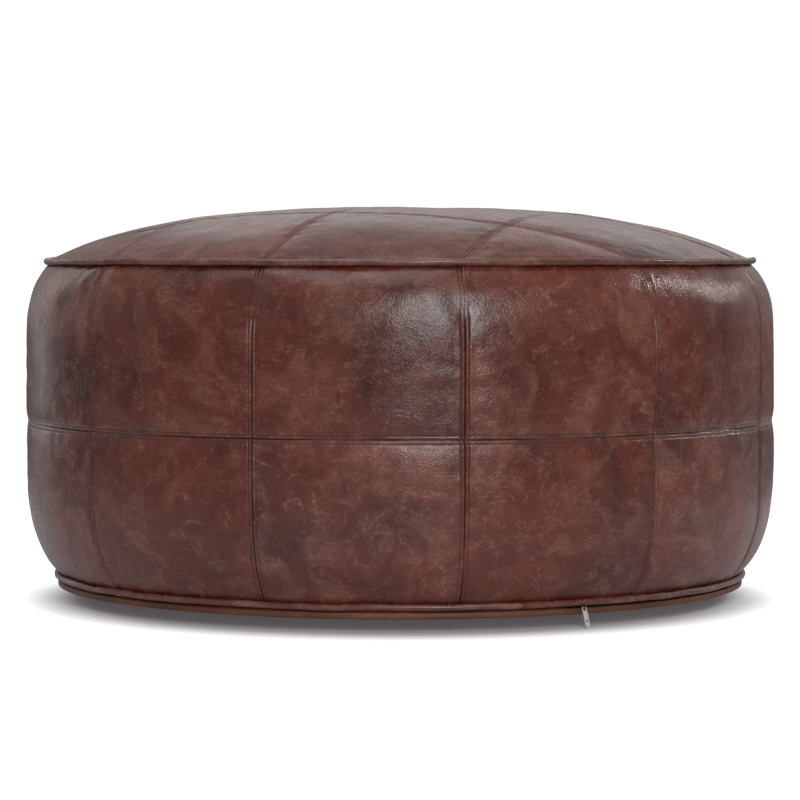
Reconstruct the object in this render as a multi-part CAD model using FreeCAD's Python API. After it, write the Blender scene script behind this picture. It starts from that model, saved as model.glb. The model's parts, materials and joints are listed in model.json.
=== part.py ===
import FreeCAD, Part
import math
import os

# A large round leather pouf, standing on the floor: +Z up, origin under the middle of its
# base, front towards -Y, millimetres. Twelve columns of leather panels go round it in two
# rows, sixteen patches cover its top, piping finishes both edges, and a metre of zip lies
# hidden between the lower piping and the base.

# ---- the body ----
overall_height = 433.5        # floor to the middle of the crown
belly_radius = 418.0          # widest part of the side
crown_rise = 58.0             # middle of the crown above the upper piping
foot_rise = 25.5              # middle of the lower piping above the floor
shoulder_reach = 85.5         # height over which the side turns in to the upper piping
skirt_reach = 161.5           # height over which it turns in to the lower piping
lower_row_height = 172.0      # lower piping to the level seam between the rows of panels
side_columns = 12             # panels in each row
seam_turn = 9.0               # degrees from the front to the nearest upright seam
upper_fullness = 3.7          # how squarely the side turns in to the upper piping
lower_fullness = 4.6          # the same at the lower piping
crown_fullness = 3.0          # how flat the middle of the crown is
leather = 1.4                 # panel leather
tuck_slope = 1.2              # how steeply the panels run in behind a piping roll

# ---- piping ----
piping_radius = 3.7           # leather-covered roll
piping_leather = 0.8          # skived leather round the cord
piping_flange = 10.0          # sewn-in width of the folded strip
upper_piping_inset = 21.7     # middle of the upper roll, inside the belly
lower_piping_inset = 32.0     # middle of the lower roll, inside the belly
roll_gap = 0.1                # between a roll and the leather beside it
crown_edge_lift = 0.8         # cut edge of the crown above the piping's flange

# ---- base ----
base_slope_width = 206.0      # from the lower piping in to where the base touches the floor
base_lip_inset = 0.4          # the lip's outside, inside the middle of the lower piping
base_lip_thickness = 2.4      # leather turned back on itself
base_fullness = 1.5
crease_gap = 2.0              # slot under the roll that the pull passes through

# ---- zip ----
zip_turn = 29.0               # degrees from the front to the closed end
zip_travel = 150.0            # degrees that the slider runs round the pouf
zip_end_margin = 3.0          # degrees of tape past each end
zip_inset = 9.5               # middle of the chain, inside the middle of the lower piping
tooth_width = 3.0             # one row
chain_thickness = 2.4
tape_thickness = 0.5
tape_reach = 12.5             # tape turned in from the chain and sewn down
slider_length = 12.0
slider_height = 9.0
slider_wall = 0.9
slider_rim = 0.8              # edges that hold the teeth in
slider_rim_depth = 0.9
slider_play = 0.4             # all round the chain
slider_wedge = 2.4
stop_length = 3.0
stop_gap = 0.3

# ---- pull ----
eye_reach = 4.2               # the pull's pivot, outside the middle of the lower piping
eye_bore = 0.95
eye_wall = 0.95
stem_width = 2.0
stem_thickness = 1.0
pull_bar_radius = 0.7
pull_width = 5.6
pull_thickness = 1.2
pull_length = 22.0            # pivot to the rounded tip
pull_prong = 1.2              # sides of the slot that the eye sits in
pull_slot_length = 3.6
pull_floor_gap = 0.4          # tip above the floor as it rests
pull_window_width = 2.0
pull_window_length = 2.6
pull_window_drop = 14.6       # pivot to the middle of the window

# ---- inside ----
ply_gap = 0.3                 # between neighbouring layers
calico = 0.8                  # inner bag
core_inset = 36.0             # foam block, inside the middle of the lower piping
core_foot_gap = 6.5           # foam block above the lower piping
core_head_gap = 7.5           # and below the upper piping
core_round = 12.0

# ---- worked out ----
UP = FreeCAD.Vector(0, 0, 1)
MIDDLE = FreeCAD.Vector(0, 0, 0)
upper_piping_radius = belly_radius - upper_piping_inset
lower_piping_radius = belly_radius - lower_piping_inset
upper_piping_height = overall_height - crown_rise
lower_piping_height = foot_rise
belly_high = upper_piping_height - shoulder_reach
belly_low = lower_piping_height + skirt_reach
mid_seam_height = lower_piping_height + lower_row_height
base_flat_radius = lower_piping_radius - base_slope_width
zip_radius = lower_piping_radius - zip_inset
core_radius = lower_piping_radius - core_inset
core_low = lower_piping_height + core_foot_gap
core_high = upper_piping_height - core_head_gap
upper_flange_top = upper_piping_height + piping_leather
upper_flange_foot = upper_piping_height - piping_leather
lower_flange_top = lower_piping_height + piping_leather
lower_flange_foot = lower_piping_height - piping_leather
tuck = (piping_radius + roll_gap) * math.hypot(1, tuck_slope) - tuck_slope * piping_leather
side_top_radius = upper_piping_radius - tuck
side_foot_radius = lower_piping_radius - tuck
crown_radius = upper_piping_radius - piping_radius - 2 * roll_gap
crown_edge_height = upper_flange_top + crown_edge_lift
lip_radius = lower_piping_radius - base_lip_inset
lip_top = lower_piping_height - piping_radius - crease_gap
base_edge_radius = lip_radius - base_lip_thickness
zip_height = lower_flange_foot - tape_thickness - ply_gap - slider_height / 2
slider_floor = zip_height - slider_height / 2 - ply_gap - tape_thickness - leather
tape_face_radius = zip_radius + tape_thickness / 2
base_run = base_edge_radius - base_flat_radius
lip_foot = slider_floor / ((tape_face_radius - base_flat_radius) / base_run) ** base_fullness
upper_skirt_radius = upper_piping_radius - piping_radius - piping_flange - ply_gap
lower_skirt_radius = zip_radius - tape_reach - ply_gap
pivot_radius = lower_piping_radius + eye_reach
pivot_height = lip_top + crease_gap / 2


def point(radius, height):
    """A point of an outline, drawn in the upright plane through +X."""
    return FreeCAD.Vector(radius, 0, height)


def line(start, end):
    """A straight edge between two (radius, height) pairs."""
    return Part.makeLine(point(*start), point(*end))


def smooth(pairs):
    """One smooth edge through (radius, height) pairs."""
    curve = Part.BSplineCurve()
    curve.interpolate([point(*pair) for pair in pairs])
    return curve.toShape()


def steps(start, end, count):
    """Evenly spaced values from start to end, both included."""
    return [start + (end - start) * i / (count - 1) for i in range(count)]


def turned(edges, start=0.0, sweep=360.0):
    """The solid that a closed outline makes when it is turned about the upright axis."""
    face = Part.Face(Part.Wire(edges))
    face.rotate(MIDDLE, UP, start)
    return face.revolve(MIDDLE, UP, sweep)


def turned_polygon(corners, start=0.0, sweep=360.0):
    """As turned(), for an outline of straight lines."""
    edges = [line(corners[i - 1], corners[i]) for i in range(len(corners))]
    return turned(edges, start, sweep)


def rectangle(inner, outer, low, high):
    """Corners of an upright rectangle in the outline's plane."""
    return [(inner, low), (outer, low), (outer, high), (inner, high)]


def from_front(degrees):
    """Turns an angle counted from the front, anticlockwise from above, into one from +X."""
    return degrees - 90.0


def side_radius(height, depth=0.0):
    """Radius of the side at a height, that much under its surface."""
    if height > belly_high:
        inset = belly_radius - side_top_radius
        reach = upper_flange_foot - belly_high
        part, power, sign = (height - belly_high) / reach, upper_fullness, 1.0
    elif height < belly_low:
        inset = belly_radius - side_foot_radius
        reach = belly_low - lower_flange_top
        part, power, sign = (belly_low - height) / reach, lower_fullness, -1.0
    else:
        return belly_radius - depth
    slope = sign * inset * power * part ** (power - 1) / reach
    return belly_radius - inset * part ** power - depth * math.hypot(1, slope)


def side_heights(low, high):
    """Heights at which an outline of the side takes its points, closer where it turns."""
    marks = [belly_low - (belly_low - lower_flange_top) * f for f in (0.92, 0.8, 0.62, 0.35)]
    marks += steps(belly_low, belly_high, 4)
    marks += [belly_high + (upper_flange_foot - belly_high) * f for f in (0.35, 0.62, 0.82)]
    return [low] + [mark for mark in marks if low + 4 < mark < high - 4] + [high]


def crown_height(radius, depth=0.0):
    """Height of the crown at a radius, that much under its surface."""
    rise = overall_height - crown_edge_height
    part = radius / crown_radius
    slope = rise * crown_fullness * part ** (crown_fullness - 1) / crown_radius
    return overall_height - rise * part ** crown_fullness - depth * math.hypot(1, slope)


def base_height(radius, depth=0.0):
    """Height of the base's underside at a radius, or of a layer that much above it."""
    if radius <= base_flat_radius:
        return depth
    return lip_foot * ((radius - base_flat_radius) / base_run) ** base_fullness + depth


def crown_outline(radius, depth):
    return [(r, crown_height(r, depth)) for r in steps(0.0, radius, 9)]


def base_outline(radius, depth):
    return [(r, base_height(r, depth)) for r in steps(base_flat_radius, radius, 7)]


def side_outline(low, high, depth):
    return [(side_radius(z, depth), z) for z in side_heights(low, high)]


def side_panel(column, low, high):
    """One leather panel of the side, between two upright seams."""
    outside = side_outline(low, high, 0.0)
    inside = side_outline(low, high, leather)
    edges = [smooth(outside), line(outside[-1], inside[-1]), smooth(inside),
             line(inside[0], outside[0])]
    sweep = 360.0 / side_columns
    return turned(edges, from_front(seam_turn + column * sweep), sweep)


def side_panels():
    panels = {}
    for column in range(side_columns):
        label = f"{column + 1:02d}"
        panels["side_upper_" + label] = side_panel(column, mid_seam_height, upper_flange_foot)
        panels["side_lower_" + label] = side_panel(column, lower_flange_top, mid_seam_height)
    return panels


def crown_shell():
    """The whole leather top, before it is cut into patches."""
    outside = crown_outline(crown_radius, 0.0)
    seat = upper_flange_top
    hem = crown_radius - (leather - crown_edge_lift) / crown_fullness_slope()
    inside = [(r, crown_height(r, 0.0) - leather) for r in steps(0.0, hem, 9)]
    inside[-1] = (hem, seat)
    edges = [smooth(outside), line(outside[-1], (crown_radius, seat)),
             line((crown_radius, seat), inside[-1]), smooth(inside), line(inside[0], outside[0])]
    return turned(edges)


def crown_fullness_slope():
    """Steepness of the crown where it meets the piping."""
    return (overall_height - crown_edge_height) * crown_fullness / crown_radius


def top_patches():
    """Sixteen patches, cut by seams that end above the side's upright seams."""
    shell = crown_shell()
    pitch = crown_radius / 2
    marks = [-2 * pitch - leather, -pitch, 0.0, pitch, 2 * pitch + leather]
    patches = {}
    for row in range(4):
        for column in range(4):
            corner = FreeCAD.Vector(marks[column], marks[row], 0)
            cell = Part.makeBox(marks[column + 1] - marks[column], marks[row + 1] - marks[row],
                                overall_height, corner)
            cell.rotate(MIDDLE, UP, seam_turn - 360.0 / side_columns)
            patches[f"top_patch_{row + 1}{column + 1}"] = shell.common(cell).Solids[0]
    return patches


def piping(radius, height):
    """A roll of cord in folded leather, with the flange that is sewn into the seam."""
    across = FreeCAD.Vector(0, 1, 0)
    rim = Part.makeCircle(piping_radius - piping_leather, point(radius, height), across)
    cord = Part.Face(Part.Wire(rim))
    join = radius - math.sqrt(piping_radius ** 2 - piping_leather ** 2)
    inner = radius - piping_radius - piping_flange
    high, low = height + piping_leather, height - piping_leather
    roll = Part.Arc(point(join, high), point(radius + piping_radius, height), point(join, low)).toShape()
    cover = Part.Face(Part.Wire([roll, line((join, low), (inner, low)), line((inner, low), (inner, high)),
                                 line((inner, high), (join, high))]))
    return cover.cut(cord).Faces[0].revolve(MIDDLE, UP, 360.0), cord.revolve(MIDDLE, UP, 360.0)


def zip_angles():
    """Where the zip's tape starts, and how far it runs, in degrees from +X."""
    return from_front(zip_turn - zip_end_margin), zip_travel + 2 * zip_end_margin


def base_panel():
    """The leather base: a shallow dish with a turned lip, sewn up to the piping off the zip."""
    underside = base_outline(base_edge_radius, 0.0)
    upper = base_outline(base_edge_radius, leather)
    edges = [line((0, 0), underside[0]), smooth(underside),
             line(underside[-1], (lip_radius, lip_foot + base_lip_thickness / 2)),
             line((lip_radius, lip_foot + base_lip_thickness / 2), (lip_radius, lip_top)),
             line((lip_radius, lip_top), (base_edge_radius, lip_top)),
             line((base_edge_radius, lip_top), upper[-1]), smooth(upper),
             line(upper[0], (0, leather)), line((0, leather), (0, 0))]
    dish = turned(edges)
    start, sweep = zip_angles()
    return dish.fuse(turned_polygon(sewn_edge(), start + sweep, 360.0 - sweep)).removeSplitter()


def sewn_edge():
    """Outline of the leather that climbs from the lip to the piping's flange."""
    wall = side_foot_radius - leather
    low = lip_top + crease_gap * 0.4
    high = lip_top + crease_gap
    return [(lip_radius, lip_top), (lip_radius - leather / 2, low), (wall + leather, high),
            (wall, lower_flange_foot), (wall - leather, lower_flange_foot), (wall, low),
            (base_edge_radius, lip_top)]


def zip_tapes():
    """Both tapes: upright beside the teeth, then turned in and sewn down."""
    start, sweep = zip_angles()
    near, far = tape_face_radius - tape_thickness, tape_face_radius
    end = zip_radius - tape_reach
    high, low = zip_height + tooth_width, zip_height - tooth_width
    roof = lower_flange_foot
    upper = [(far, high), (far, roof), (end, roof), (end, roof - tape_thickness),
             (near, roof - tape_thickness), (near, high)]
    lift = leather + tape_thickness
    lower = [(far, low), (far, base_height(far, leather)), (end, base_height(end, leather)),
             (end, base_height(end, lift)), (near, base_height(near, lift)), (near, low)]
    return turned_polygon(upper, start, sweep), turned_polygon(lower, start, sweep)


def degrees_along(length):
    """Degrees that a length takes along the zip."""
    return math.degrees(length / zip_radius)


def zip_chain():
    """The two meshed rows of teeth, from inside the slider to the bottom stop."""
    first = degrees_along(slider_wedge + slider_play - slider_length / 2)
    last = zip_travel + degrees_along(slider_length / 2 + stop_gap)
    start = from_front(zip_turn + first)
    near, far = zip_radius - chain_thickness / 2, zip_radius + chain_thickness / 2
    upper = rectangle(near, far, zip_height, zip_height + tooth_width)
    lower = rectangle(near, far, zip_height - tooth_width, zip_height)
    stop = rectangle(near, far, zip_height - tooth_width, zip_height + tooth_width)
    return (turned_polygon(upper, start, last - first), turned_polygon(lower, start, last - first),
            turned_polygon(stop, from_front(zip_turn + last), degrees_along(stop_length)))


def zip_top_stops():
    """Two stops on the tapes' edges, just past the closed slider."""
    near, far = zip_radius - chain_thickness / 2, zip_radius + chain_thickness / 2
    sweep = degrees_along(stop_length)
    start = from_front(zip_turn) - degrees_along(slider_length / 2 + stop_gap) - sweep
    high = rectangle(near, far, zip_height + tooth_width / 2, zip_height + tooth_width)
    low = rectangle(near, far, zip_height - tooth_width, zip_height - tooth_width / 2)
    return Part.Compound([turned_polygon(high, start, sweep), turned_polygon(low, start, sweep)])


def zip_slider():
    """Two plates with rims round the chain, a wedge at the opening end, a stem and an eye."""
    sweep = degrees_along(slider_length)
    start = from_front(zip_turn) - sweep / 2
    half, rim = slider_height / 2, slider_rim
    gap = chain_thickness / 2 + slider_play
    shape = None
    for side in (1, -1):
        face = zip_radius + side * gap
        back = face + side * slider_wall
        lip = face - side * slider_rim_depth
        outline = [(back, zip_height - half), (back, zip_height + half), (lip, zip_height + half),
                   (lip, zip_height + half - rim), (face, zip_height + half - rim),
                   (face, zip_height - half + rim), (lip, zip_height - half + rim),
                   (lip, zip_height - half)]
        plate = turned_polygon(outline, start, sweep)
        shape = plate if shape is None else shape.fuse(plate)
    wedge = rectangle(zip_radius - gap - slider_wall / 2, zip_radius + gap + slider_wall / 2,
                      zip_height - slider_wedge / 2, zip_height + slider_wedge / 2)
    shape = shape.fuse(turned_polygon(wedge, start, degrees_along(slider_wedge)))
    return shape.fuse(slider_eye()).removeSplitter()


def at_zip(shape):
    """Moves a shape drawn at the front of the pouf to the closed end of the zip."""
    shape.rotate(MIDDLE, UP, zip_turn)
    return shape


def across_rod(radius, length):
    """A rod through the pull's pivot, along its axis, drawn at the front of the pouf."""
    start = FreeCAD.Vector(-length / 2, -pivot_radius, pivot_height)
    return Part.makeCylinder(radius, length, start, FreeCAD.Vector(1, 0, 0))


def slider_eye():
    """The stem that leaves the crease, with the eye that carries the pull."""
    outer = eye_bore + eye_wall
    inner_end = zip_radius + chain_thickness / 2 + slider_play + slider_wall / 2
    corner = FreeCAD.Vector(-stem_width / 2, -pivot_radius, pivot_height - stem_thickness / 2)
    stem = Part.makeBox(stem_width, pivot_radius - inner_end, stem_thickness, corner)
    eye = stem.fuse(across_rod(outer, stem_width)).cut(across_rod(eye_bore, stem_width))
    return at_zip(eye)


def zip_pull():
    """A flat tab with a slot at its top, a small window and a rounded tip."""
    tip = pull_width / 2
    plate = Part.makeBox(pull_width, pull_thickness, pull_length - tip,
                         FreeCAD.Vector(-tip, -pull_thickness / 2, tip - pull_length))
    end = Part.makeCylinder(tip, pull_thickness, FreeCAD.Vector(0, -pull_thickness / 2, tip - pull_length),
                            FreeCAD.Vector(0, 1, 0))
    slot_width = pull_width - 2 * pull_prong
    slot = Part.makeBox(slot_width, 2 * pull_thickness, pull_slot_length,
                        FreeCAD.Vector(-slot_width / 2, -pull_thickness, -pull_slot_length))
    window = Part.makeBox(pull_window_width, 2 * pull_thickness, pull_window_length,
                          FreeCAD.Vector(-pull_window_width / 2, -pull_thickness,
                                         -pull_window_drop - pull_window_length / 2))
    shape = plate.fuse(end).cut(slot).cut(window)
    shape.translate(FreeCAD.Vector(0, -pivot_radius, pivot_height))
    shape = shape.fuse(across_rod(pull_bar_radius, pull_width)).removeSplitter()
    lean = math.degrees(math.acos((pivot_height - pull_floor_gap) / pull_length))
    pivot = FreeCAD.Vector(0, -pivot_radius, pivot_height)
    shape.rotate(pivot, FreeCAD.Vector(1, 0, 0), -lean)
    return at_zip(shape)


def liner():
    """The calico inner bag: a crown, a wall with turned hems, and a base."""
    outer, inner = leather + ply_gap, leather + ply_gap + calico
    low, high = lower_flange_top + ply_gap, upper_flange_foot - ply_gap
    outside = side_outline(low, high, outer)
    inside = side_outline(low + calico, high - calico, inner)
    wall = turned([smooth(outside), line(outside[-1], (upper_skirt_radius, high)),
                   line((upper_skirt_radius, high), (upper_skirt_radius, high - calico)),
                   line((upper_skirt_radius, high - calico), inside[-1]), smooth(inside),
                   line(inside[0], (lower_skirt_radius, low + calico)),
                   line((lower_skirt_radius, low + calico), (lower_skirt_radius, low)),
                   line((lower_skirt_radius, low), outside[0])])
    return liner_crown(outer, inner, high - calico), wall, liner_base(outer, inner, low + calico)


def liner_crown(outer, inner, skirt):
    over = crown_outline(upper_skirt_radius, outer)
    under = crown_outline(upper_skirt_radius - calico, inner)
    return turned([smooth(over), line(over[-1], (upper_skirt_radius, skirt)),
                   line((upper_skirt_radius, skirt), (upper_skirt_radius - calico, skirt)),
                   line((upper_skirt_radius - calico, skirt), under[-1]), smooth(under),
                   line(under[0], over[0])])


def liner_base(outer, inner, skirt):
    under = base_outline(lower_skirt_radius, outer)
    over = base_outline(lower_skirt_radius - calico, inner)
    return turned([line((0, outer), under[0]), smooth(under), line(under[-1], (lower_skirt_radius, skirt)),
                   line((lower_skirt_radius, skirt), (lower_skirt_radius - calico, skirt)),
                   line((lower_skirt_radius - calico, skirt), over[-1]), smooth(over),
                   line(over[0], (0, inner)), line((0, inner), (0, outer))])


def filling():
    """A foam block, wadding round it, and wadding pads above and below."""
    depth = leather + ply_gap + calico + ply_gap
    core = Part.makeCylinder(core_radius, core_high - core_low, point(0, core_low))
    core = core.makeFillet(core_round, [edge for edge in core.Edges if len(edge.Vertexes) == 1])
    outside = side_outline(core_low, core_high, depth)
    near = core_radius + ply_gap
    wrap = turned([smooth(outside), line(outside[-1], (near, core_high)),
                   line((near, core_high), (near, core_low)), line((near, core_low), outside[0])])
    rim = upper_skirt_radius - calico - ply_gap
    over = crown_outline(rim, depth)
    seat = core_high + ply_gap
    crown = turned([smooth(over), line(over[-1], (rim, seat)), line((rim, seat), (0, seat)),
                    line((0, seat), over[0])])
    rim = lower_skirt_radius - calico - ply_gap
    under = base_outline(rim, depth)
    seat = core_low - ply_gap
    base = turned([line((0, depth), under[0]), smooth(under), line(under[-1], (rim, seat)),
                   line((rim, seat), (0, seat)), line((0, seat), (0, depth))])
    return core, wrap, crown, base


def build():
    """Every piece of the pouf, by name."""
    parts = {}
    parts.update(top_patches())
    parts.update(side_panels())
    parts["base_panel"] = base_panel()
    cover, cord = piping(upper_piping_radius, upper_piping_height)
    parts["upper_piping_cover"], parts["upper_piping_cord"] = cover, cord
    cover, cord = piping(lower_piping_radius, lower_piping_height)
    parts["lower_piping_cover"], parts["lower_piping_cord"] = cover, cord
    parts["zip_tape_upper"], parts["zip_tape_lower"] = zip_tapes()
    parts["zip_teeth_upper"], parts["zip_teeth_lower"], parts["zip_bottom_stop"] = zip_chain()
    parts["zip_top_stops"] = zip_top_stops()
    parts["zip_slider"] = zip_slider()
    parts["zip_pull"] = zip_pull()
    parts["liner_crown"], parts["liner_wall"], parts["liner_base"] = liner()
    parts["foam_core"], parts["side_wadding"], parts["crown_wadding"], parts["base_wadding"] = filling()
    return parts


os.makedirs("parts", exist_ok=True)
for name, shape in build().items():
    shape.exportStep(os.path.join("parts", name + ".step"))
    print(name, "solids", len(shape.Solids), "valid", shape.isValid(), "litres", round(shape.Volume / 1e6, 4))
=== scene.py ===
"""Looks of a large round patchwork leather pouf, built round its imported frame.

Every skin panel is cut on its own, its fullness comes from a cloth simulation of the stuffed cover, and
the seams are opened, pressed and stitched down on both sides with real thread.
"""
import json
import math

import bmesh
import bpy
import numpy as np
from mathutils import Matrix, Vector

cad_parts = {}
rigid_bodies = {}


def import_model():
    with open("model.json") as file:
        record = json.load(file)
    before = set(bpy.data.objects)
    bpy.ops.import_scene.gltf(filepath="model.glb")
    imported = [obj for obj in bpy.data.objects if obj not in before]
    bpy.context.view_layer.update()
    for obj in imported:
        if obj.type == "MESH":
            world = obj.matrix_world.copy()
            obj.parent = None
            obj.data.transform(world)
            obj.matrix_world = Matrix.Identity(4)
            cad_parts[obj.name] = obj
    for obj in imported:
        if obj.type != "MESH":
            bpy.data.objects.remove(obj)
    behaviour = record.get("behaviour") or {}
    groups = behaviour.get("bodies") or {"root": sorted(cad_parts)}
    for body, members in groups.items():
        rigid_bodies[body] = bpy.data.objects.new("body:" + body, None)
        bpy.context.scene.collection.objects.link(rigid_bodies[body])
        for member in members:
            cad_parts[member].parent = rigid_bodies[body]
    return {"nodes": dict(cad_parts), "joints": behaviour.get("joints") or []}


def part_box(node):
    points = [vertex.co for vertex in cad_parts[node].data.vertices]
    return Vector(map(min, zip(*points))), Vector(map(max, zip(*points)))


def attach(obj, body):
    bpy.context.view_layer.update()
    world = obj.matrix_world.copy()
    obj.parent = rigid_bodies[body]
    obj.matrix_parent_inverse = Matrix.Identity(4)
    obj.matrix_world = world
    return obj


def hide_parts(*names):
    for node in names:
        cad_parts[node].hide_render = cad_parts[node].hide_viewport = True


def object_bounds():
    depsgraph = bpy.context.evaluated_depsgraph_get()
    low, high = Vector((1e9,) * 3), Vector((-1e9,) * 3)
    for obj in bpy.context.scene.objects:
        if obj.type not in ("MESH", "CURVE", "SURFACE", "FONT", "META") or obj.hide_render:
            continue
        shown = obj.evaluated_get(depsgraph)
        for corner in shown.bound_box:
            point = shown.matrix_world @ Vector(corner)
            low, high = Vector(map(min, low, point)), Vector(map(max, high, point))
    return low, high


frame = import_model()
cad_box = [list(corner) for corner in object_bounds()]

MM = 0.001
ROOT = "pouf"

# Sizes read from the frame.
piping_low, piping_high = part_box("upper_piping_cover")
roll_radius = (piping_high.z - piping_low.z) / 2
upper_roll_reach = piping_high.x - roll_radius
upper_roll_height = piping_low.z + roll_radius
piping_low, piping_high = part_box("lower_piping_cover")
lower_roll_reach = piping_high.x - roll_radius
lower_roll_height = piping_low.z + roll_radius
side_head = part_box("side_upper_01")[1].z
side_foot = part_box("side_lower_01")[0].z
level_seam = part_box("side_upper_01")[0].z
belly_reach = cad_box[1][0]
crown_height = cad_box[1][2]
zip_travel = frame["joints"][0]["range_deg"][1]

# Sizes of the cover's making.
columns = 12
column_angle = 2 * math.pi / columns
front = -90.0
seam_turn = 9.0                    # first upright seam, anticlockwise from the front
first_seam = math.radians(front + seam_turn)
crown_turn = first_seam + math.pi / 2 - column_angle
leather = 1.4 * MM
belly_high = 290 * MM              # the side is straight between these two heights
belly_low = 187 * MM
upper_fullness = 3.7               # higher powers make squarer shoulders
lower_fullness = 4.6
crown_fullness = 3.0
tuck = 5.0 * MM                    # how far the side's edges lie inside the piping's middle
crown_edge_gap = 0.2 * MM
crown_edge_lift = 0.8 * MM
base_flat_reach = 180 * MM
base_fullness = 1.5
base_edge_inset = 2.8 * MM
lip_inset = 0.4 * MM
lip_foot = 13.33 * MM
crease_gap = 2.0 * MM              # between the lip and the lower piping
hem_inset = 9.0 * MM
hem_rise = 0.4 * MM
hem_width = 0.8 * MM
gathers_round = 96
flange_half = 0.8 * MM
flange_depth = 10.0 * MM
piping_sway = 0.6 * MM
pull_turn = 29.0                   # the closed zip's pull, anticlockwise from the front
zip_end_room = 3.0
stitch_row = 4.0 * MM              # from the seam to each row of stitches
stitch_pitch = 4.2 * MM
stitch_length = 3.1 * MM
stitch_skew = 0.06
thread_radius = 0.36 * MM
row_end = 4 * MM                   # rows of stitches stop short of the piping
crossing_gap = 6 * MM              # and of the level seam
simulation_frames = 20
seam_hold = 0.12                   # how firmly seams are held while the cover swells
side_movement = 2.0 * MM
crown_movement = 1.2 * MM
fullness = 0.4 * MM
deepest = -1.3 * MM
fade_width = 9 * MM                # relief fades out over these widths beside the piping
seam_end = 3 * MM
edge_pucker = 2 * MM
patch_lines = 30                   # grid lines across a patch, between its seams
panel_lines = 34

head_reach = upper_roll_reach - tuck
foot_reach = lower_roll_reach - tuck
crown_reach = upper_roll_reach - roll_radius - crown_edge_gap
crown_edge = upper_roll_height + crown_edge_lift + flange_half
lip_reach = lower_roll_reach - lip_inset
base_reach = lower_roll_reach - base_edge_inset
lip_top = lower_roll_height - roll_radius - crease_gap
zip_start = math.radians(front + pull_turn - zip_end_room)
zip_sweep = math.radians(zip_travel + 2 * zip_end_room)
dice = np.random.default_rng(12)


# ---------------------------------------------------------------- the cover's shape

def side_reach(height):
    """Radius of the side at a height, before the leather swells."""
    reach = np.full_like(height, belly_reach)
    up = np.clip((height - belly_high) / (side_head - belly_high), 0, 1)
    down = np.clip((belly_low - height) / (belly_low - side_foot), 0, 1)
    reach -= (belly_reach - head_reach) * up ** upper_fullness
    reach -= (belly_reach - foot_reach) * down ** lower_fullness
    return reach


RISE = np.linspace(side_foot, side_head, 1601)
REACH = side_reach(RISE)
WAY = np.concatenate([[0.0], np.cumsum(np.hypot(np.diff(RISE), np.diff(REACH)))])
LEAN = -np.gradient(REACH, RISE)
level_way = float(np.interp(level_seam, RISE, WAY))
head_way = float(WAY[-1])


def side_frame(turn, way):
    """Points on the unswollen side and the outward directions there."""
    reach = np.interp(way, WAY, REACH)
    lean = np.interp(way, WAY, LEAN)
    slant = np.sqrt(1 + lean ** 2)
    turn = np.broadcast_to(turn, way.shape)
    place = np.stack([reach * np.cos(turn), reach * np.sin(turn), np.interp(way, WAY, RISE)], -1)
    out = np.stack([np.cos(turn) / slant, np.sin(turn) / slant, lean / slant], -1)
    return place, out


def crown_frame(x, y):
    """Points on the unswollen crown, on axes that follow its seams, and the outward directions."""
    rise = crown_height - crown_edge
    share = np.hypot(x, y) / crown_reach
    steep = rise * crown_fullness * share ** (crown_fullness - 2) / crown_reach ** 2
    cosine, sine = math.cos(crown_turn), math.sin(crown_turn)
    east, north = x * cosine - y * sine, x * sine + y * cosine
    place = np.stack([east, north, crown_height - rise * share ** crown_fullness], -1)
    out = np.stack([east * steep, north * steep, np.ones_like(x)], -1)
    return place, out / np.linalg.norm(out, axis=-1, keepdims=True)


# ---------------------------------------------------------------- swelling, by cloth simulation

def grid_faces(rows, cols, wraps):
    """Corner numbers of a grid's faces, closed round in its second direction when it wraps."""
    last = cols if wraps else cols - 1
    i, j = np.meshgrid(np.arange(rows - 1), np.arange(last), indexing="ij")
    k = (j + 1) % cols
    return np.stack([i * cols + j, i * cols + k, (i + 1) * cols + k, (i + 1) * cols + j], -1).reshape(-1, 4)


def ring_faces(rows, cols):
    """Corner numbers of a grid's faces, closed round in both directions."""
    i, j = np.meshgrid(np.arange(rows), np.arange(cols), indexing="ij")
    down, along = (i + 1) % rows, (j + 1) % cols
    return np.stack([i * cols + j, i * cols + along, down * cols + along, down * cols + j], -1).reshape(-1, 4)


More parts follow.
